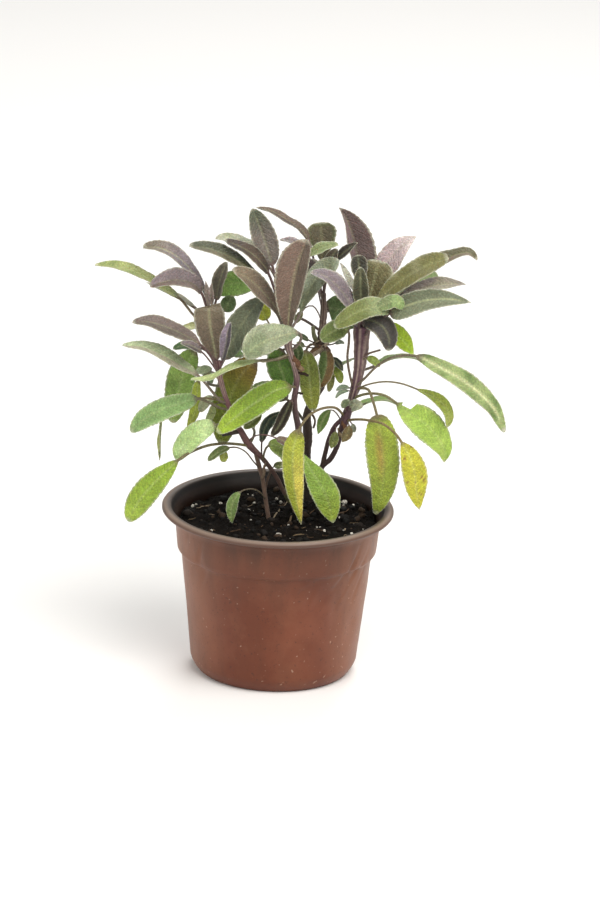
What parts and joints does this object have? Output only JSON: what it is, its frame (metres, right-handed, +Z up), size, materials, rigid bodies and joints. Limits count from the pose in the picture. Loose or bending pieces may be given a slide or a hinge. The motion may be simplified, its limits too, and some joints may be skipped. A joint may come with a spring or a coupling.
{
  "type": "potted sage",
  "caption": "Purple sage with long pointed leaves on woody stems, growing from dark potting soil in a thin round nursery pot with a rolled rim.",
  "frame": {"origin": "centre of the pot's flat base, on the surface that it rests on", "axes": "+Z up along the pot's axis, -Y towards the front of the picture, +X to the viewer's right"},
  "size_m": [0.2319, 0.1372, 0.2632],
  "materials": {
    "pot": "thin terracotta-coloured plastic, satin, dusty",
    "potting_soil": "loose moist potting soil with white grains",
    "left_leafy_stem": "soft matte leaves, green and mauve",
    "centre_leafy_stem": "soft matte leaves, olive and mauve",
    "back_leafy_stem": "soft matte leaves on a rough brown stem",
    "right_leafy_stem": "soft matte leaves, green, yellow and purple"
  },
  "bodies": {
    "root": {"pot": "pot", "potting_soil": "potting_soil", "left_leafy_stem": "left_leafy_stem", "centre_leafy_stem": "centre_leafy_stem", "back_leafy_stem": "back_leafy_stem", "right_leafy_stem": "right_leafy_stem"}
  },
  "joints": []
}
